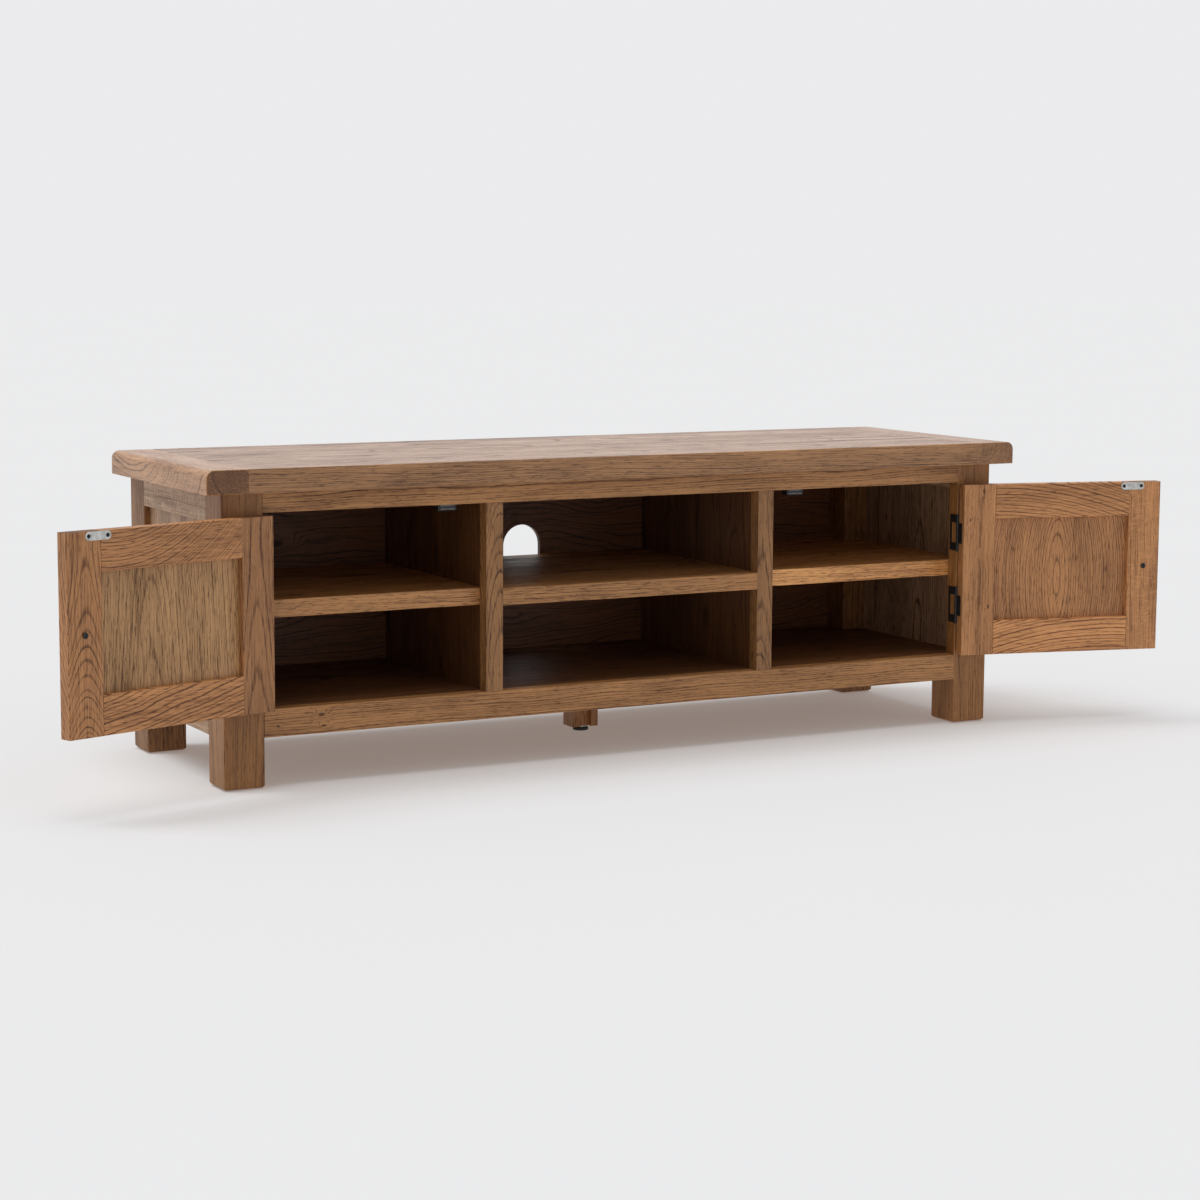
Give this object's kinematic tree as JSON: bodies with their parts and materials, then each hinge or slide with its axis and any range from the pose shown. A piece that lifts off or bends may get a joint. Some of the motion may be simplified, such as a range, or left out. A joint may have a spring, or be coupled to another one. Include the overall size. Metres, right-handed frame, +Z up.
{
  "type": "media cabinet",
  "caption": "Low oak media cabinet with square corner posts, an open shelved middle bay and a shelved cupboard with a panelled door at each end.",
  "frame": {"origin": "on the floor under the middle of the top", "axes": "+X to the right along the cabinet, +Y to the back, +Z up"},
  "size_m": [2.0257, 0.5619, 0.5],
  "materials": {
    "oak": "satin lacquered brown oak",
    "oak_top": "satin lacquered brown oak, greyer on top",
    "oak_doors": "satin lacquered brown oak",
    "oak_back": "oak veneered board",
    "beech": "plain beech dowel",
    "blackened_steel": "black coated steel",
    "bronzed_metal": "dark bronzed metal, satin",
    "zinc_plate": "bright zinc plated steel",
    "ferrite": "grey ferrite magnet",
    "black_plastic": "black moulded plastic"
  },
  "bodies": {
    "root": {"back_panel": "oak_back", "back_panel_screws": "zinc_plate", "bottom_board": "oak", "catch_housings": "black_plastic", "catch_magnets": "ferrite", "catch_poles": "zinc_plate", "centre_bearer": "oak", "centre_foot": "oak", "divider_left": "oak", "divider_right": "oak", "foot_insert": "zinc_plate", "hardware_screws": "blackened_steel", "hinge_leg_leaves": "blackened_steel", "hinge_pins": "blackened_steel", "leg_front_left": "oak", "leg_front_right": "oak", "leg_glides": "black_plastic", "leg_rear_left": "oak", "leg_rear_right": "oak", "mullion_left": "oak", "mullion_right": "oak", "rail_back_bottom": "oak", "rail_back_top": "oak", "rail_front_bottom": "oak", "rail_front_top": "oak", "shelf_dowels": "beech", "shelf_left": "oak", "shelf_middle": "oak", "shelf_right": "oak", "side_panel_left": "oak", "side_panel_right": "oak", "side_rail_bottom_left": "oak", "side_rail_bottom_right": "oak", "side_rail_top_left": "oak", "side_rail_top_right": "oak", "top_end_left": "oak_top", "top_end_right": "oak_top", "top_panel": "oak_top", "top_screws": "zinc_plate"},
    "door_left": {"door_left_bottom_rail": "oak_doors", "door_left_fixings": "blackened_steel", "door_left_hinge_leaves": "blackened_steel", "door_left_hinge_stile": "oak_doors", "door_left_knob": "bronzed_metal", "door_left_knob_bolt": "bronzed_metal", "door_left_latch_stile": "oak_doors", "door_left_panel": "oak_doors", "door_left_strike_plate": "zinc_plate", "door_left_top_rail": "oak_doors"},
    "door_right": {"door_right_bottom_rail": "oak_doors", "door_right_fixings": "blackened_steel", "door_right_hinge_leaves": "blackened_steel", "door_right_hinge_stile": "oak_doors", "door_right_knob": "bronzed_metal", "door_right_knob_bolt": "bronzed_metal", "door_right_latch_stile": "oak_doors", "door_right_panel": "oak_doors", "door_right_strike_plate": "zinc_plate", "door_right_top_rail": "oak_doors"},
    "levelling_foot": {"levelling_glide": "black_plastic"}
  },
  "joints": [
    {"name": "door_left_hinge", "type": "hinge", "parent": "root", "child": "door_left", "pos_m": [-0.64975, -0.203, 0.277], "axis": [0, 0, -1], "range_deg": [-163, 15]},
    {"name": "door_right_hinge", "type": "hinge", "parent": "root", "child": "door_right", "pos_m": [0.64975, -0.203, 0.277], "axis": [0, 0, 1], "range_deg": [-167, 11]},
    {"name": "levelling_foot_screw", "type": "slide", "parent": "root", "child": "levelling_foot", "axis": [0, 0, -1], "range_m": [0, 0.012]}
  ]
}
